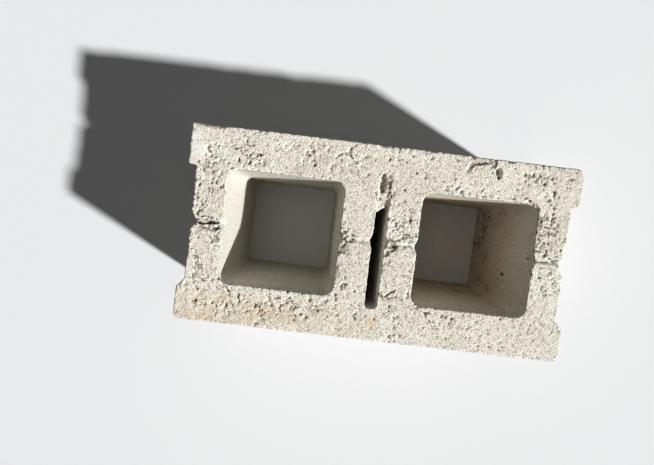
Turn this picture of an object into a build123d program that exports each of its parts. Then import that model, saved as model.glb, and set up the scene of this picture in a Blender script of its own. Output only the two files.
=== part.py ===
"""Two-core hollow concrete block, as it comes out of the block machine.

The block is one casting. It stands as it was moulded, with its cores upright:
X runs along its length, Y across it and Z up, and the origin is at the middle
of the face it rests on. All sizes are in millimetres.
"""

from build123d import *

import os
from math import atan, degrees
from typing import NamedTuple

# Outside of the block
length = 400
width = 200
height = 200
corner_radius = 8  # upright corners of the ears
arris_radius = 2  # worn edge round the top and round each core's mouth
foot_chamfer = 1  # edge round the face that stood on the pallet

# Recess in each end, which leaves an ear at both sides of it
recess_depth = 8
recess_floor = 116
recess_flank = 9  # how far each sloping flank runs along Y
short_flank = 5  # the same at the far right
flank_radius = 3

# The ear at the far left, which came out with a square step and a sharp corner
square_flank = 1
square_radius = 3

# Cores, measured at their mouth in the top face
core_length = 119
core_width = 117
core_radius = 11  # its corners are sharper by the draft at the bottom
core_draft = 5  # how far each core wall comes in by the bottom
centre_web = 80  # concrete between the two cores, with the slot in it

# Bar that carried the cores in the mould, and the slot's blade under it
bar_offset = 2  # off the middle of the block, along Y

# Slot in the centre web, along which the block is split in half
slot_length = 138
slot_width = 13
slot_radius = 4
slot_draft = 2

# Concrete that caved into one end of the slot, and the hollow left in it
plug_length = 34.5
plug_skew = 5.5  # how far each side of its slanted front is off the middle
plug_depth = 32
plug_sink = 1.5
plug_bite = 1.5  # how far the plug reaches into the slot's walls
hollow_length = 21.5
hollow_width = 7.5
hollow_depth = 10
hollow_draft = 1.5
hollow_offset = -1.8  # off the middle of the slot, along X
hollow_past = 1.5  # how far it runs past the slot's end

# Scar of the bar across the top of every web
scar_width = 8
scar_depth = 3
notch_reach = 4.5  # how far each notch goes into the edge of a web
notch_spread = 15
end_notch_reach = 6  # the same at the two ends of the block
end_notch_spread = 22
notch_depth = 16
notch_draft = 2.5


class Break(NamedTuple):
    """Concrete that broke out of the top, down to a floor of its own."""

    x: float  # a point of the floor
    y: float
    sink: float  # how far below the top that point lies
    mouth: tuple[tuple[float, float], ...]  # corners round it, seen from that point
    fall_x: float = 0  # how far the floor drops for each millimetre along X
    fall_y: float = 0  # the same along Y


def draft_angle(inset, depth):
    """Angle in degrees of a wall that comes in by inset over depth."""
    return degrees(atan(inset / depth))


web_end = length / 2 - recess_depth
core_edge = centre_web / 2
core_centre = core_edge + core_length / 2
far_edge = width / 2
slot_side = slot_width / 2
slot_end = bar_offset + slot_length / 2
plug_front = slot_end - plug_length
top = Plane.XY.offset(height)

# How far each break is cut on past an edge of the block, and up past its top
past = 4

# Flake off the far edge, and the pit beside its right end
flake = Break(
    x=98,
    y=far_edge - 9,
    sink=2.4,
    fall_y=0.2,
    mouth=(
        (-19, -8),
        (-15, -10),
        (-11, -1),
        (6, 2.5),
        (8, -1),
        (12, 0),
        (13, 9 + past),
        (-14, 9 + past),
        (-17, 1),
    ),
)
flake_pit = Break(
    x=113,
    y=far_edge - 14,
    sink=5,
    mouth=((-3, 4.5), (-3, -1), (-0.5, -6.5), (3, -5.5), (2.5, 4), (0, 5)),
)

# Chip off the far edge of the square ear
ear_chip = Break(
    x=-length / 2 + 22,
    y=far_edge - 3,
    sink=1.2,
    fall_y=0.7,
    mouth=(
        (-12, 1.5),
        (-3, -2),
        (3, -0.8),
        (9, -0.5),
        (14, 2),
        (14, 3 + past),
        (-12, 3 + past),
    ),
)

# Tear close to the far edge, where the mix was too dry to close
far_tear = Break(
    x=-39,
    y=far_edge - 9,
    sink=3,
    mouth=((-2, -4.5), (1, -5.5), (2, -1), (1.5, 4), (-1, 4.5), (-2, 0)),
)

# Chip off the far corner of the right core's mouth
corner_chip = Break(
    x=core_edge + core_length - 9,
    y=core_width / 2 + 1.5,
    sink=1.8,
    fall_y=-0.25,
    mouth=((-7, 2), (-1, 4), (4, -1), (9, -3.5), (10, -8), (0, -8), (-6, -3)),
)

# Concrete that came away with the bar, at the rims of the webs
left_rim_chip = Break(
    x=-core_edge,
    y=-4,
    sink=2.8,
    fall_x=-0.2,
    mouth=(
        (-past, 13),
        (6, 12),
        (10, 8),
        (9, 1),
        (11, -7),
        (0, -11),
        (-past, -11),
    ),
)
right_rim_chip = Break(
    x=core_edge + core_length,
    y=-3,
    sink=3,
    fall_x=-0.7,
    mouth=((-past, 4.5), (6, 4.5), (5, 0), (1, -4), (-past, -4)),
)
slot_chip = Break(
    x=slot_side,
    y=0,
    sink=1.8,
    mouth=(
        (-past, 8),
        (5.5, 6),
        (14.5, 5),
        (14.5, -1),
        (10.5, -6),
        (5.5, -7),
        (4.5, -12),
        (-past, -12),
    ),
)

# Step in the front of the plug
plug_chip = Break(
    x=slot_side,
    y=plug_front + 5.5,
    sink=5,
    mouth=((-5, -past), (-5, 2), (-1.5, 5), (0.5, 5), (0.5, -past)),
)

breaks = (
    flake,
    flake_pit,
    ear_chip,
    far_tear,
    corner_chip,
    left_rim_chip,
    right_rim_chip,
    slot_chip,
    plug_chip,
)

with BuildPart() as block:
    # Body with its recessed ends
    with BuildSketch(Plane.XY) as outline:
        Rectangle(length, width)
        for end, far_flank in ((-1, square_flank), (1, short_flank)):
            with BuildLine():
                Polyline(
                    (end * length / 2, recess_floor / 2 + far_flank),
                    (end * web_end, recess_floor / 2),
                    (end * web_end, -recess_floor / 2),
                    (end * length / 2, -recess_floor / 2 - recess_flank),
                    close=True,
                )
            make_face(mode=Mode.SUBTRACT)
        far_left = outline.vertices().sort_by_distance((-length / 2, width / 2))
        side_lines = outline.vertices().group_by(Axis.Y)
        ear_corners = side_lines[0] + side_lines[-1]
        flank_corners = outline.vertices() - ear_corners - far_left[1:3]
        fillet(ear_corners - far_left[:1], corner_radius)
        fillet(far_left[0], square_radius)
        fillet(flank_corners, flank_radius)
    extrude(amount=height)
    fillet(block.faces().sort_by(Axis.Z)[-1].edges(), arris_radius)
    chamfer(block.faces().sort_by(Axis.Z)[0].edges(), foot_chamfer)

    # Cores, wide at the top so that the mould draws off upwards
    with BuildSketch(top):
        with Locations((-core_centre, 0), (core_centre, 0)):
            RectangleRounded(core_length, core_width, core_radius)
    extrude(
        amount=-height, taper=draft_angle(core_draft, height), mode=Mode.SUBTRACT
    )
    for mouth in block.faces().sort_by(Axis.Z)[-1].inner_wires():
        fillet(mouth.edges(), arris_radius)

    # Splitting slot
    with BuildSketch(top):
        with Locations((0, bar_offset)):
            RectangleRounded(slot_width, slot_length, slot_radius)
    extrude(
        amount=-height, taper=draft_angle(slot_draft, height), mode=Mode.SUBTRACT
    )

    # Caved-in concrete at one end of the slot
    plug_side = slot_side + plug_bite
    with BuildSketch(top.offset(-plug_sink)):
        Polygon(
            (-plug_side, plug_front - plug_skew),
            (plug_side, plug_front + plug_skew),
            (plug_side, slot_end + plug_bite),
            (-plug_side, slot_end + plug_bite),
            align=None,
        )
    extrude(amount=-plug_depth)

    # Hollow in the top of that concrete
    hollow_centre = slot_end - hollow_length / 2 + hollow_past
    with BuildSketch(top):
        with Locations((hollow_offset, hollow_centre)):
            Ellipse(hollow_width / 2, hollow_length / 2)
    with BuildSketch(top.offset(-hollow_depth)):
        with Locations((hollow_offset, hollow_centre)):
            Ellipse(hollow_width / 2 - hollow_draft, hollow_length / 2 - hollow_draft)
    loft(mode=Mode.SUBTRACT)

    # Scar of the bar: a shallow groove over every web
    with BuildSketch(Plane.YZ):
        with Locations((bar_offset, height)):
            Polygon(
                (-scar_width / 2, 0), (0, -scar_depth), (scar_width / 2, 0), align=None
            )
    extrude(amount=length / 2, both=True, mode=Mode.SUBTRACT)

    # Notches where the bar left the edges of the webs
    inner_edges = (slot_side, core_edge, core_edge + core_length)
    for edges, reach, spread in (
        (inner_edges, notch_reach, notch_spread),
        ((web_end,), end_notch_reach, end_notch_spread),
    ):
        with BuildSketch(top):
            with Locations([(side * x, bar_offset) for side in (-1, 1) for x in edges]):
                Polygon(
                    (-reach, 0), (0, -spread / 2), (reach, 0), (0, spread / 2), align=None
                )
        extrude(
            amount=-notch_depth,
            taper=draft_angle(notch_draft, notch_depth),
            mode=Mode.SUBTRACT,
        )

    # Breaks in the top
    for piece in breaks:
        floor = Plane(
            (piece.x, piece.y, height - piece.sink),
            x_dir=(1, 0, 0),
            z_dir=(piece.fall_x, piece.fall_y, 1),
        )
        with BuildSketch(floor):
            Polygon(*piece.mouth, align=None)
        extrude(amount=piece.sink + past, mode=Mode.SUBTRACT)

os.makedirs("parts", exist_ok=True)
block.part.label = "block"
export_step(block.part, "parts/block.step")
print("volume in litres", round(block.part.volume / 1e6, 3))
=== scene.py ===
"""Two-core hollow concrete block, dressed as the weathered dry-cast unit it is.

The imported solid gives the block's shape and place. This script copies that solid,
gives the copy the relief that the casting and years of handling left on it, and
paints it with a dry-cast concrete material. Sizes in the relief are millimetres,
in the block's own frame: X along its length, Y across it, Z up, with the origin
under the middle of the block. Blender's own objects are in metres.
"""

import itertools
import logging
import math
from dataclasses import dataclass, field
from enum import Enum
from typing import Any

import bmesh
import bpy
import numpy as np
from mathutils import Euler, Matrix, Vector
from numpy.typing import NDArray


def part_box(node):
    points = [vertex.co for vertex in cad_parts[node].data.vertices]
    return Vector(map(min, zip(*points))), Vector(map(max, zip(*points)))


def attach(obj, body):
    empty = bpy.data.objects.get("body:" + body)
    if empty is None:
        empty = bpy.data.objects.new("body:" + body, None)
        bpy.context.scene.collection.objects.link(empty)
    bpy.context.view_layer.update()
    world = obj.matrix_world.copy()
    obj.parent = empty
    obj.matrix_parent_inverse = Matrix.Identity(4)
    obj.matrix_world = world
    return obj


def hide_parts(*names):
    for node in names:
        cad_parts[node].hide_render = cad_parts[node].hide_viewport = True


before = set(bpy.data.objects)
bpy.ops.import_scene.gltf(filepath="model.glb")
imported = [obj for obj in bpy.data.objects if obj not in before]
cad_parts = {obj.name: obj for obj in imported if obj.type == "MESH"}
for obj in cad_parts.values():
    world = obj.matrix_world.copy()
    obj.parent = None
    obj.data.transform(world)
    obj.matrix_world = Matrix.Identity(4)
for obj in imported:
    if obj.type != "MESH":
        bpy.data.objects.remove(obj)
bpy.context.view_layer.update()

log = logging.getLogger("concrete block")

MM = 0.001
NODE = "block"
Values = NDArray[np.float32]
Sockets = dict[str, bpy.types.NodeSocket]

# What the relief stores on the casting for its material to read, by name
ATTRIBUTES = ("shade_and_streaks", "earth", "pale", "drawn", "dry", "wall_specks")


# Small helpers


def linear(hex_colour: str) -> tuple[float, float, float, float]:
    """Turns an sRGB hex colour into the linear RGBA that a shader takes.

    Args:
        hex_colour: the colour as "#RRGGBB".

    Returns:
        Red, green and blue from 0 to 1 in linear light, and an alpha of 1.
    """
    parts = (int(hex_colour[i : i + 2], 16) / 255 for i in (1, 3, 5))
    red, green, blue = (
        p / 12.92 if p <= 0.04045 else ((p + 0.055) / 1.055) ** 2.4 for p in parts
    )
    return red, green, blue, 1.0


def per_mm(size: float) -> float:
    """Texture scale on Object coordinates at which a pattern repeats every `size` mm."""
    return 1 / (size * MM)


def ease(low: float, high: float, values: Values) -> Values:
    """Rises smoothly from 0 where values are at low to 1 where they are at high."""
    share = np.clip((values - low) / (high - low), 0, 1)
    return share * share * (3 - 2 * share)


def add_node(
    tree: bpy.types.NodeTree, kind: str, inputs: dict[Any, Any], **settings: Any
) -> bpy.types.Node:
    """Adds a node to a shader tree, with its settings and its inputs.

    Args:
        tree: the tree that the node goes into.
        kind: Blender's name of the node type, without "ShaderNode".
        inputs: for each input's name or number, its value or the socket it is
            linked from.
        **settings: the node's own properties.

    Returns:
        The new node.
    """
    made = tree.nodes.new("ShaderNode" + kind)
    for name, value in settings.items():
        setattr(made, name, value)
    for name, value in inputs.items():
        if isinstance(value, bpy.types.NodeSocket):
            tree.links.new(value, made.inputs[name])
        else:
            made.inputs[name].default_value = value
    return made


def seen_rays(tree: bpy.types.NodeTree) -> bpy.types.NodeSocket:
    """Tells the rays that show the studio to the camera from those that light the block.

    Args:
        tree: the tree that the nodes go into.

    Returns:
        A socket that is 1 for camera, glossy and transmission rays, and 0 for others.
    """
    rays = add_node(tree, "LightPath", {})
    seen = rays.outputs["Is Camera Ray"]
    for name in ("Is Glossy Ray", "Is Transmission Ray"):
        both = {0: seen, 1: rays.outputs[name]}
        seen = add_node(tree, "Math", both, operation="MAXIMUM").outputs[0]
    return seen


# The finish


@dataclass(frozen=True)
class DryCastConcrete:
    """Dry-cast concrete: cement paste and crushed sand, rammed almost dry.

    It gives the eye a matt, cream-grey ground, peppered with sand grains and with
    small voids that the stiff mix left open, with the shade in them painted in as a
    dark colour. Faces drawn along the mould are closer, with upright drag marks.
    Earth has stained it ochre in places.
    """

    paste: str = "#F5EFE0"
    paste_dull: str = "#E8E1D1"
    skin: str = "#D6D2C9"
    grit_dark: str = "#8B8271"
    grit_pale: str = "#FAF6EB"
    # Painted shade: this dark colour is laid into the fine pits and stands for the shade in
    # them
    pit: str = "#5B5142"
    earth: str = "#DDBE92"
    grime_and_shade: str = "#5A5042"
    roughness: float = 0.93
    specular: float = 0.25
    mottle_mm: float = 42.0
    sand_mm: float = 1.4
    pit_mm: float = 3.1
    speck_mm: float = 3.4
    drag_mm: float = 1.4
    drag_length_mm: float = 45.0
    relief_mm: float = 0.8

    def material(self) -> bpy.types.Material:
        """Builds the material.

        Returns:
            A material that reads Object coordinates and the casting's attributes.
        """
        made = bpy.data.materials.new("dry-cast concrete")
        made.use_nodes = True
        made.diffuse_color = linear(self.paste)
        tree = made.node_tree
        tree.nodes.clear()
        maps = self._maps(tree)
        shader = add_node(
            tree,
            "BsdfPrincipled",
            {
                "Base Color": self._colour(tree, maps),
                "Normal": self._relief(tree, maps),
                "Roughness": self.roughness,
                "Specular IOR Level": self.specular,
            },
        )
        add_node(tree, "OutputMaterial", {"Surface": shader.outputs["BSDF"]})
        return made

    def _maps(self, tree: bpy.types.NodeTree) -> Sockets:
        """Gathers what the colours and the fine relief are read from.

        Args:
            tree: the material's tree.

        Returns:
            By name, the Object coordinates ("place"), the noises, the casting's
            attributes, and the pits that are finer than the mesh, up to 1.5 mm
            wide, which are below 0.25 and lowest at the middle of a pit.
        """
        maps = {"place": add_node(tree, "TexCoord", {}).outputs["Object"]}
        for name, size, detail in (
            ("mottle", self.mottle_mm, 4.0),
            ("sand", self.sand_mm, 3.0),
            ("speck", self.speck_mm, 2.0),
        ):
            noise = {"Vector": maps["place"], "Scale": per_mm(size), "Detail": detail}
            maps[name] = add_node(tree, "TexNoise", noise).outputs["Fac"]
        for name in ATTRIBUTES:
            read = add_node(tree, "Attribute", {}, attribute_name=name)
            maps[name] = read.outputs["Fac"]
        spread = {"Vector": maps["place"], "Scale": per_mm(self.pit_mm)}
        cells = add_node(tree, "TexVoronoi", spread)
        pits = cells.outputs["Distance"]
        for share, rarer in (
            (cells.outputs["Color"], 0.5),
            (maps["drawn"], 0.11),
            (maps["dry"], -0.17),
        ):
            shifted = {0: share, 1: rarer, 2: pits}
            pits = add_node(tree, "Math", shifted, operation="MULTIPLY_ADD").outputs[0]
        maps["pits"] = pits
        return maps

    def _colour(self, tree: bpy.types.NodeTree, maps: Sockets) -> bpy.types.NodeSocket:
        """Lays the colours over each other, from the broad mottling to the painted shade in
        pits and cracks.

        Args:
            tree: the material's tree.
            maps: what `_maps` gives.

        Returns:
            The colour's socket.
        """
        more_specks = {0: maps["wall_specks"], 1: 0.26, 2: maps["speck"]}
        specks = add_node(tree, "Math", more_specks, operation="MULTIPLY_ADD").outputs[0]
        colour: Any = linear(self.paste)
        for value, low, high, most, tint in (
            (maps["mottle"], 0.36, 0.66, 1.0, self.paste_dull),
            (maps["drawn"], 0.0, 1.0, 0.9, self.skin),
            (maps["sand"], 0.525, 0.68, 0.88, self.grit_dark),
            (maps["sand"], 0.48, 0.34, 0.9, self.grit_pale),
            # painted shade in the fine pits
            (maps["pits"], 0.24, 0.15, 0.85, self.pit),
            (maps["earth"], 0.0, 1.0, 1.0, self.earth),
            # dark specks, thicker low on the right core's walls
            (specks, 0.79, 0.85, 0.9, self.grime_and_shade),
            # pale stones, and painted light on the left core's left wall
            (maps["pale"], 0.0, 1.0, 1.0, self.grit_pale),
            # painted shade in pits, cracks and chips, with darker streaks and a darker low
            # part of the right core
            (maps["shade_and_streaks"], 0.0, 1.0, 1.0, self.grime_and_shade),
        ):
            laid_on = {"Value": value, "From Min": low, "From Max": high, "To Max": most}
            share = add_node(tree, "MapRange", laid_on).outputs["Result"]
            mixed = {0: share, 6: colour, 7: linear(tint)}
            colour = add_node(tree, "Mix", mixed, data_type="RGBA").outputs[2]
        return colour

    def _relief(self, tree: bpy.types.NodeTree, maps: Sockets) -> bpy.types.NodeSocket:
        """Builds the relief that is finer than the mesh: sand, pits, drag marks.

        Args:
            tree: the material's tree.
            maps: what `_maps` gives.

        Returns:
            The bumped normal's socket.
        """
        opening = {"Value": maps["pits"], "From Min": 0.08, "From Max": 0.26}
        opened = add_node(tree, "MapRange", opening).outputs["Result"]
        grainy = {0: maps["sand"], 1: 1.6, 2: opened}
        torn = add_node(tree, "Math", grainy, operation="MULTIPLY_ADD").outputs[0]
        upright = (1, 1, self.drag_mm / self.drag_length_mm)
        stretched = add_node(
            tree, "Mapping", {"Vector": maps["place"], "Scale": upright}
        ).outputs["Vector"]
        dragging = {"Vector": stretched, "Scale": per_mm(self.drag_mm), "Detail": 2.0}
        drag = add_node(tree, "TexNoise", dragging).outputs["Fac"]
        both = {0: maps["drawn"], 2: torn, 3: drag}
        height = add_node(tree, "Mix", both, data_type="FLOAT").outputs[0]
        raised = {"Height": height, "Strength": 1.0, "Distance": self.relief_mm * MM}
        return add_node(tree, "Bump", raised).outputs["Normal"]


@dataclass(frozen=True)
class StudioFloor:
    """Matt studio board: an even, pale, cool white that keeps soft shadows.

    Attributes:
        colour: as the camera sees it.
        bounce: as it throws light back at the block, so that no side is washed out.
        roughness: of its surface.
        specular: how much it shines.
    """

    colour: str = "#E8E9EA"
    bounce: str = "#B2B3B5"
    roughness: float = 0.9
    specular: float = 0.2

    def material(self) -> bpy.types.Material:
        """Builds the floor's material.

        Returns:
            A plain matt material.
        """
        made = bpy.data.materials.new("matt studio board")
        made.use_nodes = True
        tree = made.node_tree
        shader = tree.nodes["Principled BSDF"]
        tints = {0: seen_rays(tree), 6: linear(self.bounce), 7: linear(self.colour)}
        tint = add_node(tree, "Mix", tints, data_type="RGBA")
        tree.links.new(tint.outputs[2], shader.inputs["Base Color"])
        shader.inputs["Roughness"].default_value = self.roughness
        shader.inputs["Specular IOR Level"].default_value = self.specular
        return made


# The relief


class Noise:
    """Seeded noise on a lattice, worked out for a whole array of points at once."""

    CORNERS = tuple(itertools.product((0, 1), repeat=3))
    NEIGHBOURS = tuple(itertools.product((-1, 0, 1), repeat=3))

    def __init__(self, seed: int) -> None:
        """Draws the lattice's slopes and centres.

        Args:
            seed: draws the same lattice at each run.
        """
        rng = np.random.default_rng(seed)
        self.order = np.tile(rng.permutation(256), 2).astype(np.int32)
        slopes = rng.normal(size=(256, 3))
        slopes /= np.linalg.norm(slopes, axis=1, keepdims=True)
        self.slopes = slopes.astype(np.float32)
        self.centres = rng.random((256, 4)).astype(np.float32)

    def _keys(self, cells: NDArray[np.int32]) -> NDArray[np.int32]:
        """Gives each lattice cell its number from 0 to 255."""
        x, y, z = (cells & 255).T
        return self.order[self.order[self.order[x] + y] + z]

    def swell(self, points: Values, size: float) -> Values:
        """Smooth noise with lumps of about one size.

        Args:
            points: where to work it out, in mm.
            size: width of a lump, in mm.

        Returns:
            A value from about -1 to 1 for each point.
        """
        spots = points / np.float32(size)
        cells = np.floor(spots).astype(np.int32)
        inside = spots - cells
        blend = inside**3 * (inside * (inside * 6 - 15) + 10)
        total = np.zeros(len(points), np.float32)
        for corner in self.CORNERS:
            step = np.array(corner, np.int32)
            share = np.prod(np.where(step == 1, blend, 1 - blend), axis=1)
            slopes = self.slopes[self._keys(cells + step)]
            total += share * np.einsum("ij,ij->i", slopes, inside - step)
        return 1.6 * total

    def push(self, points: Values, size: float) -> Values:
        """Small sideways pushes, so that shapes come out ragged.

        Args:
            points: where to work them out, in mm.
            size: how far apart pushes in different directions lie, in mm.

        Returns:
            A push of up to about 1 along X, Y and Z for each point.
        """
        return np.stack([self.swell(points + apart, size) for apart in (11, 37, 71)], 1)

    def clumps(self, points: Values, size: float) -> tuple[Values, Values, Values]:
        """Distances to centres that are scattered one to a lattice cell.

        Args:
            points: where to work it out, in mm.
            size: width of a cell, in mm.

        Returns:
            For each point its distance in mm to the nearest centre and to the
            next one, and the nearest centre's own number from 0 to 1.
        """
        spots = points / np.float32(size)
        cells = np.floor(spots).astype(np.int32)
        inside = spots - cells
        near = np.full(len(points), 9, np.float32)
        after = near.copy()
        mark = np.zeros(len(points), np.float32)
        for neighbour in self.NEIGHBOURS:
            step = np.array(neighbour, np.int32)
            centre = self.centres[self._keys(cells + step)]
            away = np.linalg.norm(step + centre[:, :3] - inside, axis=1)
            closer = away < near
            after = np.where(closer, near, np.minimum(after, away))
            mark = np.where(closer, centre[:, 3], mark)
            near = np.where(closer, away, near)
        return near * size, after * size, mark


class Face(Enum):
    """The kinds of surface that casting leaves on the block."""

    BED = "top, struck off and torn by the mould's shoes"
    CORE = "wall drawn off a core"
    SLOT = "wall drawn off the slot's blade"
    SHELL = "outside, drawn along the mould box"
    FOOT = "face that stood on the pallet"


@dataclass(frozen=True)
class Skin:
    """How rough one kind of surface came out, in millimetres.

    Attributes:
        wave: slow swell, some 40 mm across.
        grain: sand and grit, some 3 mm across.
        clump: lumps of mix with crevices between them, some 5 mm across.
        pores: share of the cells that hold an open pore.
        pore_width: width of the widest pores.
        pore_depth: depth of the deepest pores.
        drag: upright marks of the mould.
        pressed: how much of that roughness the mould or the shoes pressed flat.
    """

    wave: float
    grain: float
    clump: float
    pores: float
    pore_width: float
    pore_depth: float
    drag: float
    pressed: float


SKINS = {
    Face.BED: Skin(0.35, 0.60, 0.62, 0.16, 1.7, 2.2, 0.0, 0.30),
    Face.CORE: Skin(0.35, 0.20, 0.0, 0.24, 2.4, 1.3, 0.30, 0.35),
    Face.SLOT: Skin(0.35, 0.30, 0.2, 0.20, 2.6, 1.4, 0.20, 0.40),
    Face.SHELL: Skin(0.35, 0.30, 0.15, 0.35, 2.6, 1.6, 0.12, 0.50),
    Face.FOOT: Skin(0.15, 0.15, 0.10, 0.35, 2.6, 1.2, 0.0, 0.20),
}

# Widths of the relief's patterns, in mm
WAVE_MM = 42
RIPPLE_MM = 15
GRAIN_MM = 2.9
LUMP_MM = 5.5
CLUMP_MM = 4.8
DRAG_MM = 4.5

# Where the block's parts lie, in mm: middles, half widths that reach 1 mm or more
# past the edge, and heights that tell the top, the foot and the arris from the rest
CORE_X = 99.5
CORE_REACH = (60.5, 59.5)
SLOT_Y = 2
SLOT_REACH = (12, 73)
TOP_ABOVE = 150
FOOT_BELOW = 50
ARRIS_ABOVE = 197.5

# How dry the mix was outside the dry patches, from 0 to 1
EVEN_DRYNESS = 0.12


@dataclass(frozen=True)
class Patch:
    """A stretch where the mix was dry: more pores, more crevices, looser crumbs.

    Attributes:
        x, y: its middle.
        reach_x, reach_y: how far it spreads to each side.
        dryness: how dry it is at its middle, from 0 to 1.
    """

    x: float
    y: float
    reach_x: float
    reach_y: float
    dryness: float


PATCHES = (
    Patch(-150, -76, 66, 20, 0.9),
    Patch(-80, -74, 38, 15, 0.8),
    Patch(-176, 6, 22, 66, 0.7),
    Patch(-162, 74, 28, 18, 0.6),
    Patch(-135, 68, 16, 12, 0.6),
    Patch(-107, 85, 12, 6, 0.9),
    Patch(-74, 80, 15, 14, 0.5),
    Patch(-36, 3, 12, 14, 0.9),
    Patch(21, 18, 20, 17, 1.0),
    Patch(16, -54, 17, 14, 0.6),
    Patch(0, 52, 8, 20, 0.8),
    Patch(170, 28, 17, 28, 0.8),
    Patch(157, 80, 24, 14, 0.7),
    Patch(168, 67, 14, 9, 0.8),
    Patch(85, 64, 30, 6, 0.6),
)


@dataclass(frozen=True)
class Gouge:
    """A pit in the top, where a clump of the stiff mix tore out.

    Attributes:
        x, y: its middle.
        length, width: across its mouth.
        turn: angle of its length from +X, in degrees.
        depth: how deep it goes.
    """

    x: float
    y: float
    length: float
    width: float
    turn: float
    depth: float


def alike(
    length: float, width: float, turn: float, depth: float, *places: tuple[float, float]
) -> tuple[Gouge, ...]:
    """Repeats one shape of pit.

    Args:
        length, width, turn, depth: the shape that all of them have.
        *places: X and Y of the middle of each.

    Returns:
        One pit for each place.
    """
    return tuple(Gouge(x, y, length, width, turn, depth) for x, y in places)


@dataclass(frozen=True)
class Crack:
    """A ragged opening in the top.

    Attributes:
        points: X and Y of the points along it.
        width, depth: how wide and how deep it gapes.
    """

    points: tuple[tuple[float, float], ...]
    width: float
    depth: float


@dataclass(frozen=True)
class Spall:
    """A rounded bite out of an edge or a face.

    Attributes:
        centre: the middle of the ball that it is cut by.
        reach: that ball's half widths along X, Y and Z.
    """

    centre: tuple[float, float, float]
    reach: tuple[float, float, float]


# Small pits, sorted by shape
SMALL_PITS = (
    *alike(
        2.6, 1.8, 60, 1.5,
        (34, -80), (-187.5, 44.5), (-177, 19), (-175, 15), (-191, -10), (-189, -13),
        (-191.5, -20.5), (-160, -30), (-159.5, -38), (-160, -45), (-36, -36), (27, 0),
        (11, -37), (12.5, -41.5), (183, 9),
    ),
    *alike(
        2.4, 1.6, 60, 1.4,
        (-72, 89.5), (-29, 72), (38.5, 78), (40, 75.5), (48, 62), (67.5, 75.5), (72, 66),
        (121.5, 84), (172, 87), (-130, -71), (-21, -77), (-5, -75), (17, -73), (-1, 41.5),
    ),
    *alike(
        2.6, 1.8, 60, 1.6,
        (-131, -69), (-78.5, -63.5), (-83, -68), (-75, -83), (-61.5, -73), (-54, -72),
        (-46.5, -65.5), (88.5, 87),
    ),
    *alike(
        3, 2, 60, 2.3,
        (168, 47.5), (167.5, 37), (170.5, 37.5), (178, 30), (168, 21), (173, 21), (169, 17),
    ),
    *alike(
        2.4, 1.8, 60, 1.5,
        (-77, 76), (164, 72), (163.5, 68.5), (173, 68), (167.5, 64), (175, 62),
    ),
    *alike(
        2.6, 1.6, 60, 1.5,
        (-52.5, 74), (-169, -74.5), (-189, -68.5), (-146, -81), (-107, -73), (-103, -86),
    ),
    *alike(
        2.4, 1.6, 40, 1.4,
        (-165, 83), (-67, 93), (-61.5, 89), (-58, 87.5),
    ),
    *alike(
        3.2, 2.2, 60, 2.2,
        (-145, -71.5), (-81, -74.5), (-73.5, -74), (-70, -81),
    ),
    *alike(
        2.6, 1.8, 20, 1.3,
        (165.5, -64.5), (169, -72), (147, -77), (105.5, -84.5),
    ),
    *alike(
        2.4, 1.6, 60, 1.3,
        (167.5, -25), (177, -31), (175, -33), (183, -13.5),
    ),
    *alike(
        3.2, 2, 60, 2,
        (-177.5, -67.5), (-110.5, -88), (29, -72),
    ),
    *alike(
        3.6, 2.2, 60, 2.2,
        (-103.5, -69.5), (174, 47), (175, 31.5),
    ),
    *alike(
        2.6, 1.8, 20, 1.5,
        (67, -63.5), (78.5, -65.5), (66, -73),
    ),
)

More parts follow.
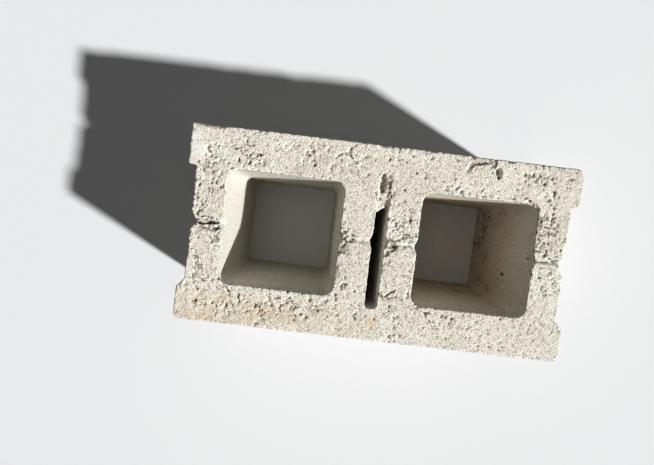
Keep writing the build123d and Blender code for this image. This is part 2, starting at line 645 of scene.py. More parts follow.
# What else tore out of the top, by place
FAR_SHELL = (
    Gouge(-183, 84, 2.5, 1.6, 0, 1.3),
    Gouge(-174, 68, 3.4, 2.2, 45, 2.3),
    Gouge(-175, 81.5, 2.6, 1.8, 60, 1.8),
    Gouge(-172, 79.5, 3.2, 2.2, 70, 2.2),
    Gouge(-162, 77, 3.6, 1.4, 15, 1.4),
    Gouge(-144, 87.5, 5.5, 1.5, 88, 1.8),
    Gouge(-144.5, 92, 2.2, 1.5, 60, 1.4),
    Gouge(-150.5, 68, 6.5, 2.4, 78, 2.6),
    Gouge(-139, 66.5, 6, 2.6, 62, 2.6),
    Gouge(-144.5, 62.5, 2.4, 1.8, 30, 1.4),
    Gouge(-160, 63.5, 3.2, 2.2, 60, 2),
    Gouge(-156, 59, 3.4, 2, 40, 2),
    Gouge(-182, 62, 5.5, 1.6, 5, 2),
    Gouge(-189.5, 61.5, 2.6, 1.6, 20, 1.4),
    Gouge(-166, 66, 2.4, 1.8, 50, 1.4),
    Gouge(-143.5, 73.5, 6, 1.6, 30, 1.6),
    Gouge(-141, 77, 2.2, 1.6, 20, 1.3),
    Gouge(-128.5, 75.5, 4, 2.4, 70, 2.4),
    Gouge(-127, 71.5, 2.4, 1.8, 30, 1.4),
    Gouge(-134, 92.5, 2.4, 1.6, 30, 1.3),
    Gouge(-114, 92, 2.4, 1.6, 30, 1.3),
    Gouge(-92, 89.5, 3.2, 2, 50, 2),
    Gouge(-99, 85, 2.4, 1.8, 50, 1.5),
    Gouge(-80, 81, 4, 2.4, 55, 2.4),
    Gouge(-77.5, 85.5, 3, 1.6, 40, 1.6),
    Gouge(-73.5, 72, 4.6, 3, 55, 2.6),
    Gouge(-56, 71, 2.6, 1.6, 80, 1.5),
    Gouge(-57, 60.5, 3.4, 1.8, 20, 1.8),
    Gouge(-23, 75.5, 4, 1.5, 10, 1.5),
    Gouge(-13, 85, 6, 1.4, 80, 1.4),
    Gouge(1.5, 86.5, 5.4, 2.2, 75, 2.2),
    Gouge(9, 90, 2.8, 2, 45, 2),
    Gouge(10, 80.5, 3, 2, 60, 2),
    Gouge(12, 83.5, 2.2, 1.6, 60, 1.4),
    Gouge(18.5, 86, 3.6, 2, 50, 2.1),
    Gouge(25, 92.5, 3.4, 2, 45, 2),
    Gouge(30, 76, 3.4, 2, 60, 2),
    Gouge(48, 74, 2.2, 1.6, 60, 1.3),
    Gouge(62, 63, 4, 2, 10, 1.5),
    Gouge(78.5, 63.5, 3, 2, 60, 1.9),
    Gouge(81.5, 61.5, 2.4, 1.6, 30, 1.4),
    Gouge(90, 74.5, 2.2, 1.6, 60, 1.3),
    Gouge(98.5, 67, 3.4, 2.2, 55, 2.2),
    Gouge(115.5, 61, 2.8, 1.8, 20, 1.8),
    Gouge(128.5, 92.5, 3.6, 1.6, 40, 1.5),
    Gouge(131, 61.5, 2.8, 1.8, 20, 1.8),
    Gouge(140, 87.5, 6, 2.6, 82, 2.6),
    Gouge(148.6, 88.5, 6, 3, 80, 2.8),
    Gouge(143.5, 64, 5, 2.6, 30, 1.6),
    Gouge(148.5, 61.5, 3.4, 2.4, 60, 2),
    Gouge(152, 58.5, 3.4, 2, -40, 1.8),
    Gouge(161, 80.5, 5.4, 3.4, 65, 2.8),
    Gouge(159.5, 87, 3, 2.4, 60, 2.3),
    Gouge(160, 75.5, 5, 1.8, 85, 1.7),
    Gouge(168, 87, 3.8, 2.6, 60, 2.6),
    Gouge(184, 80, 2.4, 1.8, 60, 1.4),
    Gouge(187, 88.5, 4.4, 2, 10, 2.5),
    Gouge(191, 61, 2.4, 1.8, 60, 1.4),
    Crack(((-180, 79.5), (-182.4, 77), (-181.8, 74), (-179.6, 72.4)), 2, 2.2),
    Crack(((-158, 78.5), (-154, 79), (-150, 80.5)), 1.4, 1.8),
    Crack(((-146, 84.7), (-141, 84), (-136, 84.6)), 1.3, 1.7),
    Crack(((-41, 88.5), (-47, 87), (-50, 85), (-53, 81)), 1.5, 2),
    Crack(((-39, 87), (-36, 82), (-31, 79)), 1.6, 2.1),
    Crack(((-39, 92), (-37, 95), (-33, 98)), 1.2, 1.3),
    Crack(((171, 69), (172.6, 72), (171.5, 75)), 1.9, 2.2),
)

NEAR_SHELL = (
    Gouge(-178.5, -79, 3.6, 1.6, 10, 1.6),
    Gouge(-193, -78, 3.6, 1.6, 10, 1.6),
    Gouge(-156, -65, 3, 1.8, 60, 1.8),
    Gouge(-91.5, -80, 3, 1.8, 60, 1.6),
    Gouge(-86, -59.5, 4, 2.4, 10, 2),
    Gouge(-43, -80, 3.4, 2.2, 60, 2.2),
    Gouge(-20, -65, 2.8, 1.8, 60, 1.6),
    Gouge(14.5, -70, 2.8, 1.8, 60, 1.6),
    Gouge(47, -60.5, 3, 2, 20, 1.6),
    Gouge(85, -67.5, 3.4, 2.2, 60, 2.2),
    Gouge(82.5, -72.5, 5.4, 1.5, 88, 1.7),
    Gouge(95.5, -62, 5.5, 2.2, 5, 1.4),
    Crack(((-150, -61), (-148, -63.5), (-146, -66)), 2, 2.4),
    Crack(((-144, -75), (-142.5, -77.5), (-141, -80)), 1.6, 2),
    Crack(((-134.5, -67), (-136, -71), (-134, -74.5), (-134.8, -78)), 1.8, 2.4),
    Crack(((-118, -76), (-115, -77), (-112, -79)), 1.6, 2),
    Crack(((-54, -69.5), (-49, -69.2)), 1.4, 1.7),
    Crack(((-14, -73), (-16.4, -76), (-14.4, -79)), 1.8, 2.2),
    Crack(((55, -64), (56.5, -66), (58, -69)), 1.9, 2.3),
    Crack(((57, -65), (60, -63.8), (63, -65)), 1.7, 2),
)

LEFT_WEB = (
    Gouge(-170, 43.5, 5.4, 2.6, 80, 2.6),
    Gouge(-175, 42, 4.4, 2.4, 60, 2),
    Gouge(-177, 33, 3, 2, 60, 1.6),
    Gouge(-187, 38.5, 5.4, 2.2, 65, 1.9),
    Gouge(-182, 19, 4.8, 2.2, 45, 1.9),
    Gouge(-185, 12, 4.8, 2.4, 60, 2.4),
    Gouge(-157, -54, 4, 2.6, 60, 2.4),
    Crack(((-182, 6.5), (-177, 8), (-171, 6.5)), 1.6, 2.4),
    Crack(((-188, 2.5), (-184.5, 3.8), (-181, 3)), 1.5, 2),
    Crack(((-178, 4), (-173, 5), (-169, 4)), 1.5, 2.2),
    Crack(((-190, 0.4), (-185, 0.9), (-181, 0.2), (-172, 1.6), (-162, 2.4)), 1.8, 2.8),
    Crack(((-182, -3), (-176, -4.2), (-170, -5.8)), 1.8, 2.4),
    Crack(((-166, -3.8), (-161, -2.4), (-157, -3.2)), 1.8, 2.4),
    Crack(((-161, -5), (-164, -10), (-168, -16)), 1.8, 1.4),
    Crack(((-159, -19), (-160.2, -23), (-159.6, -27)), 1.4, 1.5),
    Crack(((-187, -33), (-182, -33.6), (-178, -36)), 1.4, 1.6),
    Crack(((-182, -34), (-180, -40)), 1.4, 1.6),
    Crack(((-178, -55), (-174.5, -57.6), (-171, -58)), 1.4, 1.6),
)

CENTRE_WEB = (
    Gouge(-27, 5, 3.4, 2.4, 60, 2.4),
    Gouge(-26, 2, 4, 1.6, 10, 1.6),
    Gouge(-18, -51, 3.6, 2.4, 60, 2.3),
    Gouge(-36, -61, 4.6, 2.4, 60, 1.8),
    Gouge(7, 26.5, 4.4, 2.6, 45, 2),
    Gouge(12.5, 26, 5.4, 2.4, 50, 1.9),
    Gouge(37, 25.5, 5, 2.2, 85, 1.7),
    Gouge(37.5, 13.5, 6.5, 2.2, 88, 1.8),
    Gouge(19, -62, 4.6, 2.2, 80, 2.2),
    Gouge(37, -46.5, 5.4, 2, 85, 1.6),
    Gouge(7, 50, 4.4, 2, 80, 1.8),
    Crack(((-9, 51.5), (-7.5, 50), (-6.6, 47), (-5.6, 44)), 1.8, 2.6),
    Gouge(17.5, -49, 4.6, 2, 30, 2.2),
    Gouge(14, -52.6, 3.2, 1.6, 10, 2),
    Gouge(9.5, -10.5, 2.4, 1.6, 60, 1.8),
    Gouge(12, 58, 2.4, 1.4, 80, 1.5),
    Gouge(9.5, 55, 2.2, 1.4, 60, 1.4),
    Crack(((-36, 1.5), (-33, 3.2), (-31, 3.6)), 2.2, 2.8),
    Crack(((-39, 5.5), (-36, 8), (-33, 8.8)), 1.5, 1.8),
    Crack(((-33, -3.4), (-35, -6), (-38, -8.6)), 1.5, 1.8),
    Crack(((-38, -11), (-33, -13.6), (-28, -13.2)), 1.4, 1.6),
    Crack(((-26.5, -44.6), (-31, -45), (-33, -47.6), (-32, -51)), 2.3, 2.8),
    Crack(((9, 3.6), (15, 4.4), (20.5, 4.8)), 2, 2.6),
    Crack(((24, -44), (19, -48.6), (13, -53)), 1.8, 2.2),
    Crack(((16, -53.6), (23, -53.2)), 1.4, 1.8),
    Crack(((27, -27.6), (31, -29), (36, -29.6)), 1.4, 1.6),
    Gouge(-2.2, 70.5, 3.4, 2.4, 20, 1.6),
    Gouge(-3.4, 46, 3, 2, 60, 1.8),
    Gouge(2.5, 53.5, 2.6, 1.8, 30, 1.6),
    Gouge(-2.6, 55, 4, 3, 80, 1.3),
    Gouge(-4.6, 61, 3.4, 1.6, 85, 1.3),
)

RIGHT_WEB = (
    Gouge(162, 42.5, 6, 3, 45, 2.2),
    Gouge(158.6, 31, 3.6, 2.6, 60, 1.9),
    Gouge(159.5, 12.5, 3.2, 2.4, 60, 2.4),
    Gouge(171, 8.5, 4.6, 2.6, 35, 2.6),
    Gouge(175.5, 6, 5, 1.8, -15, 2),
    Gouge(176.5, -27, 3.4, 2, 60, 2),
    Crack(((150, 11.5), (158, 12.4), (166, 11.4)), 1.6, 1.8),
    Crack(((151, 3), (157, 3.4), (162, 2.4)), 2.4, 3.4),
    Crack(((164, 1.8), (170, 1.2), (176, 1.8)), 1.2, 1.6),
    Crack(((180, 3.2), (184, 4.4), (188, 3)), 2.4, 3.4),
    Gouge(176.5, 4.6, 3.4, 1.8, -20, 1.8),
    Gouge(166, 3.6, 2.6, 1.4, 20, 1.5),
)

FLAKE = (
    Crack(((80, 82), (82, 86), (84, 90)), 1.2, 1.2),
    Gouge(86, 94, 3, 1.8, 20, 1.2),
    Gouge(94, 88.5, 3.4, 1.4, 20, 1.4),
    Gouge(106.5, 86, 3, 2, 60, 1.8),
    Gouge(112.6, 87, 9, 5.4, 80, 1.5),
    Gouge(114.5, 81.5, 3.4, 2, 80, 2),
)

# Torn last, so that the painted shade in pits leaves them out
FRESH = (
    Gouge(14, -0.5, 13.0, 8.0, 12, 1.8),
    Gouge(9, -7, 6.0, 4.0, 70, 0.9),
)

# Chips off the arrises
CHIPS = (
    Spall((-186.5, 100.5, 200), (3.6, 2, 4)),
    Spall((-163, 101, 201), (3, 2.6, 4)),
    Spall((-156.5, 101, 201), (2.6, 2.4, 3)),
    Spall((-126, 101, 201), (3, 2.4, 4)),
    Spall((-6, 101, 201), (5.2, 3.4, 5)),
    Spall((47.5, 101, 201), (3.2, 2.6, 4)),
    Spall((123.5, 101.5, 201), (5.4, 4.4, 6)),
    Spall((162.5, 101.5, 201), (3.6, 3.6, 5)),
    Spall((174, 101.5, 201), (8, 3.2, 5)),
    Spall((-202, 70, 201), (3, 4, 6)),
    Spall((-38.6, -30, 203.4), (3.2, 16, 5)),
    Spall((157, -2, 202), (5, 4.5, 7)),
    Spall((191, -4, 202), (4, 8, 8)),
    Spall((-193, 2, 202), (3.4, 6, 7)),
    Spall((192, 14, 203), (3.6, 9, 6)),
    Spall((201, -74, 202), (2.6, 10, 5)),
)

# Pocks in the core walls, where lumps of the mix stuck to the core
POCKS = (
    Spall((157.8, 51, 141), (1.6, 1.3, 2.6)),
    Spall((154.9, 34, 12), (1.4, 1.6, 2.4)),
    Spall((155.8, 25, 41), (1.8, 2.2, 3.2)),
    Spall((156.9, 25, 124), (1.8, 1.4, 3)),
    Spall((157.5, 23, 145), (1.5, 1.4, 2)),
    Spall((155.9, 8, 45), (1.6, 1.6, 2.4)),
    Spall((157.2, -23, 120), (2.6, 1.9, 7)),
    Spall((156.4, -48, 92), (1.8, 1.5, 3.6)),
    Spall((156.3, -9, 68), (1.5, 1.5, 2.4)),
    Spall((157, -31, 117), (1.5, 1.4, 2.4)),
    Spall((156.3, -44, 66), (1.5, 1.5, 2.6)),
    Spall((156.9, -39, 104), (1.4, 1.3, 2)),
    Spall((158.1, -52, 159), (1.5, 1.8, 2)),
    Spall((156.9, 34, 83), (1.6, 1.6, 2.8)),
    Spall((157.1, 14, 112), (1.5, 1.4, 2.4)),
    Spall((157, 4, 100), (1.5, 1.4, 2.4)),
    Spall((157.5, 32, 131), (1.5, 1.3, 2.6)),
)

# Crumbs left standing in the breaks and in the hollow: X, Y, width and height
CRUMBS = (
    (-3.2, 64, 2.8, 4.6),
    (-1.6, 60.5, 2, 3),
    (4.4, 66.5, 2.6, 1),
    (5, 62, 2.6, 1),
    (5.2, 56.5, 2.6, 1),
    (107, 95.5, 2.6, 2.2),
    (108.8, 92.4, 2, 1.6),
    (106, 98.5, 2.4, 2.6),
    (109.4, 97, 1.8, 2.4),
    (82.5, 87, 2, 1.2),
    (85, 90.5, 2, 1.2),
    (11, 1, 2.2, 1.2),
    (14, -2.4, 2.4, 1.3),
    (10, -4, 2, 1.2),
    (17, 1, 2, 1),
)

# Pale stones and closed skin that stand out from the rest: X, Y and width
PALE_SPOTS = ((118, 86.5, 6.5), (-190, 75, 11), (-196, 88, 8))

# Earth that has stuck: X, Y and width
EARTH_SPOTS = ((-150, -78, 14), (0, -81, 16), (107, 96, 6), (112, 98, 5))


@dataclass
class Relief:
    """Works out how far in each point of the casting's surface lies.

    Attributes:
        points: the smooth solid's points, in mm.
        outward: the direction straight out of it at each point.
        seed: draws the same relief at each run.
        depth: how far in each point lies, in mm.
        broad: how much of that depth is slow swell and lumps, which get no painted shade.
        shaded_depth: the rest of it, without the fresh breaks, which the painted shade
            follows.
        weights: how much each point belongs to each kind of face.
        arris: 1 on the worn edges round the top.
        dryness: how dry the mix was, from 0, well rammed, to 1, loose.
        scar_y, scar_depth: middle of the bar's scar along Y, and how deep its
            streaks tear.
        edge_crumb, edge_nibble: how deep coarse and fine crumbs break off an arris.
        edge_kept: how much the arris stands out where none did.
        row_turn: how far the rows of pores are turned from X, in degrees.
    """

    points: Values
    outward: Values
    seed: int = 7
    scar_y: float = 1.0
    scar_depth: float = 2.0
    edge_crumb: float = 2.2
    edge_nibble: float = 1.4
    edge_kept: float = 0.8
    row_turn: float = 62.0
    depth: Values = field(init=False)
    broad: Values = field(init=False)
    shaded_depth: Values = field(init=False)
    weights: dict[Face, Values] = field(init=False)
    arris: Values = field(init=False)
    dryness: Values = field(init=False)

    def __post_init__(self) -> None:
        """Starts from no depth, and sorts the points by the kind of their face."""
        self.noise = Noise(self.seed)
        self.depth = np.zeros(len(self.points), np.float32)
        x, y, z = self.points.T
        rise = self.outward[:, 2]
        bed = ease(0.25, 0.7, rise) * (z > TOP_ABOVE)
        foot = ease(0.35, 0.8, -rise) * (z < FOOT_BELOW)
        side = 1 - bed - foot
        in_core = (np.abs(np.abs(x) - CORE_X) < CORE_REACH[0]) * (np.abs(y) < CORE_REACH[1])
        in_slot = (np.abs(x) < SLOT_REACH[0]) * (np.abs(y - SLOT_Y) < SLOT_REACH[1])
        core = side * in_core
        slot = side * in_slot
        self.weights = {
            Face.BED: bed,
            Face.CORE: core,
            Face.SLOT: slot,
            Face.SHELL: side - core - slot,
            Face.FOOT: foot,
        }
        self.arris = ease(0.1, 0.6, rise) * ease(0.99, 0.8, rise) * (z > ARRIS_ABOVE)
        self.dryness = self._dryness()

    def _swell(
        self, size: float, apart: float = 0, squeeze: tuple[float, ...] = (1, 1, 1)
    ) -> Values:
        """Smooth noise at every point.

        Args:
            size: width of a lump, in mm.
            apart: how far off the pattern is read, in mm, so that no two agree.
            squeeze: for each axis, how much shorter the way along it is counted,
                which draws the lumps out along it.

        Returns:
            A value from about -1 to 1 for each point.
        """
        spots = self.points * np.array(squeeze, np.float32) + apart
        return self.noise.swell(spots, size)

    def _skin(self, name: str) -> Values:
        """Looks up one size of the skins at each point, blended over the edges.

        Args:
            name: which of a skin's sizes.

        Returns:
            That size for each point.
        """
        return sum(
            weight * np.float32(getattr(SKINS[face], name))
            for face, weight in self.weights.items()
        )

    def _dryness(self) -> Values:
        """Tells how dry the mix was at each point.

        Returns:
            A value from 0, well rammed, to 1, loose, for each point.
        """
        x, y, _ = self.points.T
        uneven = 0.35 * self._swell(11, apart=420)
        total = np.full(len(x), EVEN_DRYNESS, np.float32)
        for patch in PATCHES:
            away = np.hypot((x - patch.x) / patch.reach_x, (y - patch.y) / patch.reach_y)
            share = patch.dryness * ease(1.2, 0.5, away + uneven)
            total = np.maximum(total, share * self.weights[Face.BED])
        return total

    def carve(self) -> None:
        """Adds every part of the relief, the broad ones first."""
        self.texture()
        self.depth *= 1 - 0.7 * self.pale() * self.weights[Face.BED]
        self.scar()
        self.worn_edges()
        self.pores()
        shells = SMALL_PITS + FAR_SHELL + NEAR_SHELL
        for mark in shells + LEFT_WEB + CENTRE_WEB + RIGHT_WEB + FLAKE:
            if isinstance(mark, Gouge):
                self.gouge(mark)
            else:
                self.crack(mark)
        # The depth that the painted shade in pits follows, before the fresh breaks
        self.shaded_depth = self.depth - self.broad
        for pit in FRESH:
            self.gouge(pit)
        for chip in CHIPS + POCKS:
            self.spall(chip)
        self.crumbs()

    def texture(self) -> None:
        """Adds the surface's own roughness: swell, grain, clumps and drag marks."""
        wave, clump = self._skin("wave"), self._skin("clump")
        self.broad = wave * (1 + self._swell(WAVE_MM)) / 2
        self.broad += wave * (1 + self._swell(RIPPLE_MM)) / 5
        grain = self.noise.clumps(self.points + 50, GRAIN_MM)[0] / GRAIN_MM
        coarse = self._skin("grain") * (1 + 1.3 * self.dryness)
        self.depth += coarse * np.clip(grain - 0.15, 0, 0.8)
        self.depth += self._skin("grain") * (1 + self._swell(LUMP_MM)) / 4
        ragged = self.points + 1.6 * self.noise.push(self.points, 4)
        near, after, _ = self.noise.clumps(ragged, CLUMP_MM)
        crevice = np.clip(1.1 - (after - near) / 0.8, 0, 1)
        broken = self._swell(4, apart=250) + 0.5 * self._swell(26, apart=300)
        crumbly = ease(0.4, 0.75, broken + 0.5 * self.dryness)
        self.depth += clump * 3.0 * crevice * crumbly
        lump = np.clip(near / CLUMP_MM - 0.2, 0, 0.6)
        self.broad += clump * 2.6 * lump * self.dryness
        upright = (1 + self._swell(DRAG_MM, squeeze=(1, 1, 0.02))) / 2
        self.depth += self._skin("drag") * upright
        self.depth = np.maximum(self.depth + self.broad - self._skin("pressed"), 0)

    def scar(self) -> None:
        """Tears the groove that the core bar left along the top of every web."""
        x, y, _ = self.points.T
        on_web = self.weights[Face.BED] * ease(9, 3, np.abs(y - self.scar_y))
        streaks = self._swell(2.4, squeeze=(0.28, 1, 1))
        clods = self._swell(LUMP_MM, apart=90)
        torn = np.clip(0.1 + streaks + 0.5 * clods, 0, 1)
        self.depth += on_web * self.scar_depth * torn
        rough = self.weights[Face.BED] * ease(12, 4, np.hypot(x - 13, y + 1.5))
        self.depth += rough * 0.8 * np.clip(0.3 + clods, 0, 1)

    def worn_edges(self) -> None:
        """Leaves the edges round the top almost sharp, but for the crumbs gone."""
        slow = 0.5 * self._swell(30, apart=700)
        coarse = np.clip(self._swell(5, apart=500) + slow - 0.2, 0, 1)
        fine = np.clip(self._swell(2.4, apart=560) + slow, 0, 1)
        crumbs = self.edge_crumb * coarse + self.edge_nibble * fine
        self.depth += self.arris * (crumbs - self.edge_kept)

    def pores(self) -> None:
        """Opens the pores that the stiff mix left, some 5 mm apart at the most."""
        lean = math.radians(self.row_turn)
        axis = np.array([math.cos(lean), math.sin(lean), 0], np.float32)
        bed = self.weights[Face.BED] > 0.5
        stretched = self.points.copy()
        stretched[bed] -= 0.3 * ((self.points[bed] @ axis)[:, None] * axis)
        share = self._skin("pores") * (0.35 + 0.65 * self.dryness)
        wide = self._skin("pore_width") / 2
        for apart, size, scale in ((0, 4.6, 1.0), (140, 3.0, 0.72)):
            near, _, mark = self.noise.clumps(stretched + apart, size)
            radius = scale * wide * (0.45 + 0.55 * mark / np.maximum(share, 0.01))
            ragged = near + 0.4 * self._swell(1.9, apart)
            bowl = np.clip(2.4 * (1 - (ragged / radius) ** 2), 0, 1)
            deep = self._skin("pore_depth") * scale * (0.5 + radius / wide / 2)
            self.depth += np.where(mark < share, bowl * deep, 0)

    def gouge(self, pit: Gouge) -> None:
        """Tears one pit out of the top.

        Args:
            pit: its place, shape and depth.
        """
        x, y, _ = self.points.T
        near = (np.abs(x - pit.x) < pit.length) & (np.abs(y - pit.y) < pit.length)
        near &= self.weights[Face.BED] > 0.2
        p = self.points[near]
        lean = math.radians(pit.turn)
        dx, dy = p[:, 0] - pit.x, p[:, 1] - pit.y
        along = dx * math.cos(lean) + dy * math.sin(lean)
        across = dy * math.cos(lean) - dx * math.sin(lean)
        out = np.hypot(along / (pit.length / 2), across / (pit.width / 2))
        out += 0.35 * self.noise.swell(p + 33, 2.0)
        self._tear(near, np.clip(3.0 * (0.95 - out), 0, 1) * 1.2 * pit.depth)

    def crack(self, line: Crack) -> None:
        """Opens one crack in the top.

        Args:
            line: its course, width and depth.
        """
        course = np.array(line.points, np.float32)
        low, high = course.min(0) - 4, course.max(0) + 4
        flat = self.points[:, :2]
        near = np.all((flat > low) & (flat < high), axis=1)
        near &= self.weights[Face.BED] > 0.2
        p = self.points[near]
        spots = p[:, :2] + 0.8 * self.noise.push(p, 3.0)[:, :2]
        away = np.full(len(p), np.inf, np.float32)
        for start, end in zip(course[:-1], course[1:]):
            run = end - start
            share = np.clip((spots - start) @ run / (run @ run), 0, 1)
            foot = start + share[:, None] * run
            away = np.minimum(away, np.linalg.norm(spots - foot, axis=1))
        half = line.width / 2 * (0.9 + 0.6 * self.noise.swell(p + 61, 3.4))
        self._tear(near, np.clip(2.4 * (1.0 - away / half), 0, 1) * 1.2 * line.depth)

    def _tear(self, near: NDArray[np.bool_], cut: Values) -> None:
        """Deepens the relief to a cut, which keeps some of the roughness in it.

        Args:
            near: which points the cut can reach.
            cut: how deep it goes at each of them, in mm.
        """
        rough = self.depth[near]
        self.depth[near] = np.maximum(rough, 0.4 * rough + cut)

    def spall(self, chip: Spall) -> None:
        """Breaks one bite out of an edge or a face.

        Each point goes straight in until it meets the far side of the ball.

        Args:
            chip: the ball that it is cut by.
        """
        middle = np.array(chip.centre, np.float32)
        reach = np.array(chip.reach, np.float32)
        near = np.all(np.abs(self.points - middle) < reach.max() + 2, axis=1)
        p = self.points[near]
        ragged = p + 0.25 * min(chip.reach) * self.noise.push(p, 4.5)
        spot = (ragged - middle) / reach
        way = self.outward[near] / reach
        speed = np.einsum("ij,ij->i", way, way)
        toward = np.einsum("ij,ij->i", spot, way)
        left = 1 - np.einsum("ij,ij->i", spot, spot)
        go = (toward + np.sqrt(np.maximum(toward**2 + speed * left, 0))) / speed
        depth = self.depth[near]
        self.depth[near] = np.where(left > 0, np.maximum(depth, go), depth)

    def crumbs(self) -> None:
        """Leaves crumbs of concrete standing in the breaks and in the hollow."""
        x, y, _ = self.points.T
        ragged = 0.25 * self._swell(2.2, apart=640)
        for at_x, at_y, wide, high in CRUMBS:
            away = np.hypot(x - at_x, y - at_y) / wide + ragged
            self.depth -= high * ease(1, 0.2, away) * self.weights[Face.BED]

    def shade_and_streaks(self) -> Values:
        """Tells how far each point lies in a pit, for the shade painted there. It also lays
        darker streaks along the near core walls and darkens the right core's walls lower
        down.

        Returns:
            A value from 0, open, to about 1, deep, for each point.
        """
        core = self.weights[Face.CORE]
        near_wall = core * ease(0.5, 0.9, self.outward[:, 1]) * (self.points[:, 1] < 0)
        lying = self._swell(8, squeeze=(0.1, 0.1, 1))
        streaks = 0.14 * near_wall * np.clip(0.3 + lying, 0, 1)
        # Painted shade: pits, cracks, chips and the core walls' pocks darken with their
        # depth
        pocks = 0.92 * ease(0.8, 2.0, np.maximum(self.shaded_depth, self.depth * core))
        # The right core's walls also darken lower down
        return np.clip(pocks + streaks + 0.1 * self._low_walls(), 0, 1)

    def drawn(self) -> Values:
        """Tells where the concrete was drawn along the mould, which closed its skin.

        Returns:
            A value from 0, torn, to 1, drawn along a core, for each point.
        """
        inner = self.weights[Face.CORE] + self.weights[Face.SLOT]
        return inner + 0.8 * self.weights[Face.SHELL]

    def dry(self) -> Values:
        """Tells where the finish has more pits.

        Returns:
            A value from 0 to 1 for each point.
        """
        bed = self.weights[Face.BED] * np.maximum(self.dryness - EVEN_DRYNESS, 0)
        return np.clip(bed + 0.6 * self._low_walls(), 0, 1)

    def wall_specks(self) -> Values:
        """Tells where dark specks lie on the right core's walls, in clusters and thicker
        lower down.

        Returns:
            A value from 0 to 1 for each point.
        """
        clusters = ease(-0.5, 0.5, self._swell(24, apart=333))
        return (0.35 + 0.65 * clusters) * self._low_walls()

    def earth(self) -> Values:
        """Tells where the concrete is tinted ochre: earth stains on the top and in spots,
        and a tint that grows lower down the right core's walls.

        Returns:
            A value from 0, clean, to 1, stained, for each point.
        """
        x, y, _ = self.points.T
        patchy = ease(-0.3, 0.7, self._swell(18, apart=900))
        near_left = ease(-58, -76, y) * ease(20, -150, x) * self.weights[Face.BED]
        total = (0.15 + 0.35 * patchy) * near_left
        total += (0.2 + 0.4 * patchy) * self._low_walls()
        return np.clip(total + 0.5 * patchy * self._spots(EARTH_SPOTS), 0, 1)

    def pale(self) -> Values:
        """Tells where pale stones and closed skin show, and where the left core's left
        wall, which faces the key, is painted lighter.

        Returns:
            A value from 0 to 1 for each point.
        """
        # Painted light: the left core's left wall is made paler, as if lit more
        lit_wall = ease(-150, -157, self.points[:, 0]) * self.weights[Face.CORE]
        return self._spots(PALE_SPOTS) * self.weights[Face.BED] + 0.35 * lit_wall

    def _low_walls(self) -> Values:
        """Tells how far down the right core's walls each point lies.

        Returns:
            A value from 0, elsewhere, to 1, low on those walls, for each point.
        """
        x, _, z = self.points.T
        return ease(195, 80, z) * ease(0, 40, x) * self.weights[Face.CORE]

    def _spots(self, spots: tuple[tuple[float, float, float], ...]) -> Values:
        """Draws soft round spots on the block.

        Args:
            spots: the X, the Y and the width of each, in mm.

        Returns:
            1 at the middle of a spot and 0 away from them, for each point.
        """
        x, y, _ = self.points.T
        total = np.zeros(len(x), np.float32)
        ragged = 0.3 * self._swell(4, apart=820)
        for at_x, at_y, wide in spots:
            away = np.hypot(x - at_x, y - at_y) / wide + ragged
            total = np.maximum(total, ease(1, 0.4, away))
        return total


# The block


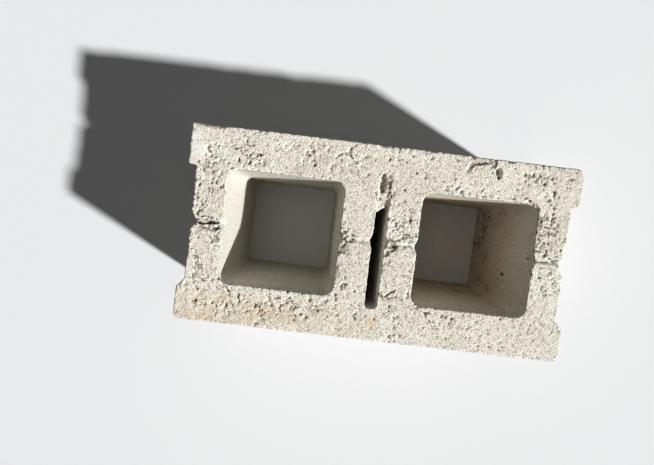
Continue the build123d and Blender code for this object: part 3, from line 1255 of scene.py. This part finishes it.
@dataclass
class ConcreteBlock:
    """The casting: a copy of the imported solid, with its relief and its finish.

    Attributes:
        solid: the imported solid's object.
        finish: what the block is made of.
        weld: how close two corners lie that are one, in mm.
        voxel: width of the fine mesh's squares, in mm.
        settle: how many times the outward directions are averaged, so that
            edges wear back without folding over.
        triangles: how many the finished piece may have.
    """

    solid: bpy.types.Object
    finish: DryCastConcrete = DryCastConcrete()
    weld: float = 0.001
    voxel: float = 0.8
    settle: int = 8
    triangles: int = 196_000

    def build(self) -> bpy.types.Object:
        """Makes the casting, hangs it under the root body and hides the imported solid.

        Returns:
            The finished piece.
        """
        even = {"mode": "VOXEL", "voxel_size": self.voxel * MM}
        fine = self._modified(self._merged(), "REMESH", even)
        relief = Relief(*self._surface(fine))
        relief.carve()
        self._displace(fine, relief)
        log.info("casting: relief carved on %d points", len(relief.points))
        mesh = self._thinned(fine)
        mesh.name = "cast_block"
        mesh.shade_smooth()
        mesh.materials.clear()
        mesh.materials.append(self.finish.material())
        piece = bpy.data.objects.new("cast_block", mesh)
        bpy.context.scene.collection.objects.link(piece)
        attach(piece, "root")
        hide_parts(NODE)
        return piece

    def _merged(self) -> bpy.types.Mesh:
        """Copies the solid's mesh and joins its loose triangles.

        Returns:
            The copy, closed.
        """
        mesh = self.solid.data.copy()
        shell = bmesh.new()
        shell.from_mesh(mesh)
        bmesh.ops.remove_doubles(shell, verts=shell.verts, dist=self.weld * MM)
        shell.to_mesh(mesh)
        shell.free()
        return mesh

    def _modified(
        self, mesh: bpy.types.Mesh, kind: str, settings: dict[str, Any]
    ) -> bpy.types.Mesh:
        """Runs one modifier on a mesh, which is used up.

        Args:
            mesh: the mesh to work on.
            kind: Blender's name of the modifier.
            settings: the modifier's own properties.

        Returns:
            A new mesh with the modifier's result.
        """
        holder = bpy.data.objects.new("holder", mesh)
        bpy.context.scene.collection.objects.link(holder)
        modifier = holder.modifiers.new(kind.title(), kind)
        for name, value in settings.items():
            setattr(modifier, name, value)
        graph = bpy.context.evaluated_depsgraph_get()
        result = bpy.data.meshes.new_from_object(holder.evaluated_get(graph))
        bpy.data.objects.remove(holder)
        bpy.data.meshes.remove(mesh)
        return result

    def _surface(self, mesh: bpy.types.Mesh) -> tuple[Values, Values]:
        """Reads a mesh's points and the directions out of it.

        Args:
            mesh: the fine mesh.

        Returns:
            The points in mm, and the smoothed direction out at each.
        """
        count = len(mesh.vertices)
        points = np.empty(count * 3, np.float32)
        outward = np.empty(count * 3, np.float32)
        edges = np.empty(len(mesh.edges) * 2, np.int32)
        mesh.vertices.foreach_get("co", points)
        mesh.vertices.foreach_get("normal", outward)
        mesh.edges.foreach_get("vertices", edges)
        points = points.reshape(-1, 3) / np.float32(MM)
        outward = outward.reshape(-1, 3)
        start, end = edges.reshape(-1, 2).T
        for _ in range(self.settle):
            total = outward.copy()
            for axis in range(3):
                total[:, axis] += np.bincount(start, outward[end, axis], count)
                total[:, axis] += np.bincount(end, outward[start, axis], count)
            outward = total / np.linalg.norm(total, axis=1, keepdims=True)
        return points, outward

    def _displace(self, mesh: bpy.types.Mesh, relief: Relief) -> None:
        """Moves the mesh's points in by the relief, and stores its attributes.

        Args:
            mesh: the fine mesh.
            relief: what was worked out for its points.
        """
        moved = relief.points - relief.outward * relief.depth[:, None]
        self._place(mesh, moved * np.float32(MM))
        for name in ATTRIBUTES:
            values = getattr(relief, name)()
            layer = mesh.attributes.new(name, "FLOAT", "POINT")
            layer.data.foreach_set("value", values.astype(np.float32))

    def _thinned(self, mesh: bpy.types.Mesh) -> bpy.types.Mesh:
        """Thins the mesh out where the relief is plain.

        Args:
            mesh: the fine mesh, with its relief.

        Returns:
            A mesh with as many triangles as the piece may have.
        """
        mesh.calc_loop_triangles()
        share = self.triangles / len(mesh.loop_triangles)
        fewer = {"ratio": share, "use_collapse_triangulate": True}
        thin = self._modified(mesh, "DECIMATE", fewer)
        places = np.empty(len(thin.vertices) * 3, np.float32)
        thin.vertices.foreach_get("co", places)
        self._place(thin, places.reshape(-1, 3))
        log.info("casting: %d triangles", len(thin.polygons))
        return thin

    def _place(self, mesh: bpy.types.Mesh, places: Values) -> None:
        """Puts the mesh's points at their places, but for what would leave the solid's box.

        Args:
            mesh: the mesh whose points move.
            places: where each point goes, in metres.
        """
        low, high = (np.array(corner, np.float32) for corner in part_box(NODE))
        kept = np.clip(places, low, high).astype(np.float32)
        mesh.vertices.foreach_set("co", kept.ravel())
        mesh.update()


# The studio


@dataclass
class Studio:
    """A pale floor under one soft key light and an even fill.

    Attributes:
        to_key: direction from the block to the key light.
        key_share: the key's share of the light on a level face. The rest is
            fill, and together they light a colour about as it is written.
        key_spread: width of the key light in degrees, as seen from the block.
        key_away: how far off the key light hangs, in metres. It doesn't matter
            for the light.
        floor_width: width of the floor, in metres.
        floor_gap: how far under the block the floor lies, in mm.
        backdrop: what the camera sees past the floor.
        floor: finish of the floor.
    """

    to_key: tuple[float, float, float] = (0.69, -0.34, 0.64)
    key_share: float = 0.915
    key_spread: float = 3.0
    key_away: float = 2.0
    floor_width: float = 24.0
    floor_gap: float = 0.1
    backdrop: str = "#E8E9EA"
    floor: StudioFloor = StudioFloor()

    def build(self) -> None:
        """Lays the floor and sets up the lights."""
        self._lay_floor()
        self._hang_key()
        self._fill()

    def _lay_floor(self) -> None:
        """Lays the floor just under the block."""
        sheet = bmesh.new()
        bmesh.ops.create_grid(
            sheet, x_segments=8, y_segments=8, size=self.floor_width / 2
        )
        down = (0, 0, -self.floor_gap * MM)
        bmesh.ops.translate(sheet, verts=sheet.verts, vec=down)
        mesh = bpy.data.meshes.new("floor")
        sheet.to_mesh(mesh)
        sheet.free()
        mesh.materials.append(self.floor.material())
        board = bpy.data.objects.new("floor", mesh)
        bpy.context.scene.collection.objects.link(board)

    def _hang_key(self) -> None:
        """Hangs the soft key light, which lights the floor evenly."""
        way = Vector(self.to_key).normalized()
        lamp = bpy.data.lights.new("key", "SUN")
        lamp.angle = math.radians(self.key_spread)
        lamp.energy = self.key_share * math.pi / way.z
        holder = bpy.data.objects.new("key", lamp)
        holder.location = way * self.key_away
        holder.rotation_euler = way.to_track_quat("Z", "Y").to_euler()
        bpy.context.scene.collection.objects.link(holder)

    def _fill(self) -> None:
        """Fills the shadows evenly, behind a plain backdrop."""
        world = bpy.data.worlds.new("studio")
        world.use_nodes = True
        tree = world.node_tree
        tree.nodes.clear()
        white = {"Color": (1.0, 1.0, 1.0, 1.0), "Strength": 1 - self.key_share}
        fill = add_node(tree, "Background", white)
        wall = add_node(tree, "Background", {"Color": linear(self.backdrop)})
        either = {0: seen_rays(tree), 1: fill.outputs[0], 2: wall.outputs[0]}
        mixed = add_node(tree, "MixShader", either)
        add_node(tree, "OutputWorld", {"Surface": mixed.outputs[0]})
        bpy.context.scene.world = world


@dataclass(frozen=True)
class Viewpoint:
    """A phone held over the block, a little to its left, looking almost straight down.

    Attributes:
        place: where the lens is, in mm.
        tilt: its rotation in degrees, about X, Y and Z in turn.
        focal_px: focal length, in pixels of the picture.
        width_px: width of the picture, in pixels.
        sensor: width of the sensor that stands for the picture's width, in mm.
        nearest: how close to the lens things still show, in metres.
    """

    place: tuple[float, float, float] = (-60.56, 33.49, 737.85)
    tilt: tuple[float, float, float] = (-3.03, -0.44, 6.84)
    focal_px: float = 530.0
    width_px: float = 654.0
    sensor: float = 36.0
    nearest: float = 0.01

    def build(self) -> None:
        """Makes the camera and gives it to the scene."""
        lens = bpy.data.cameras.new("camera")
        lens.sensor_width = self.sensor
        lens.lens = self.focal_px / self.width_px * self.sensor
        lens.clip_start = self.nearest
        camera = bpy.data.objects.new("camera", lens)
        camera.location = Vector(self.place) * MM
        camera.rotation_euler = Euler([math.radians(a) for a in self.tilt], "XYZ")
        bpy.context.scene.collection.objects.link(camera)
        bpy.context.scene.camera = camera


# The scene


def main() -> None:
    """Builds the camera, the block and the studio, in that order."""
    logging.basicConfig(level=logging.INFO, format="%(name)s: %(message)s")
    bpy.context.scene.view_settings.view_transform = "Standard"
    Viewpoint().build()
    log.info("camera placed")
    block = ConcreteBlock(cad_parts[NODE]).build()
    log.info("%s dressed in %s", block.name, block.data.materials[0].name)
    Studio().build()
    log.info("floor and lights placed")


if __name__ == "__main__":
    main()
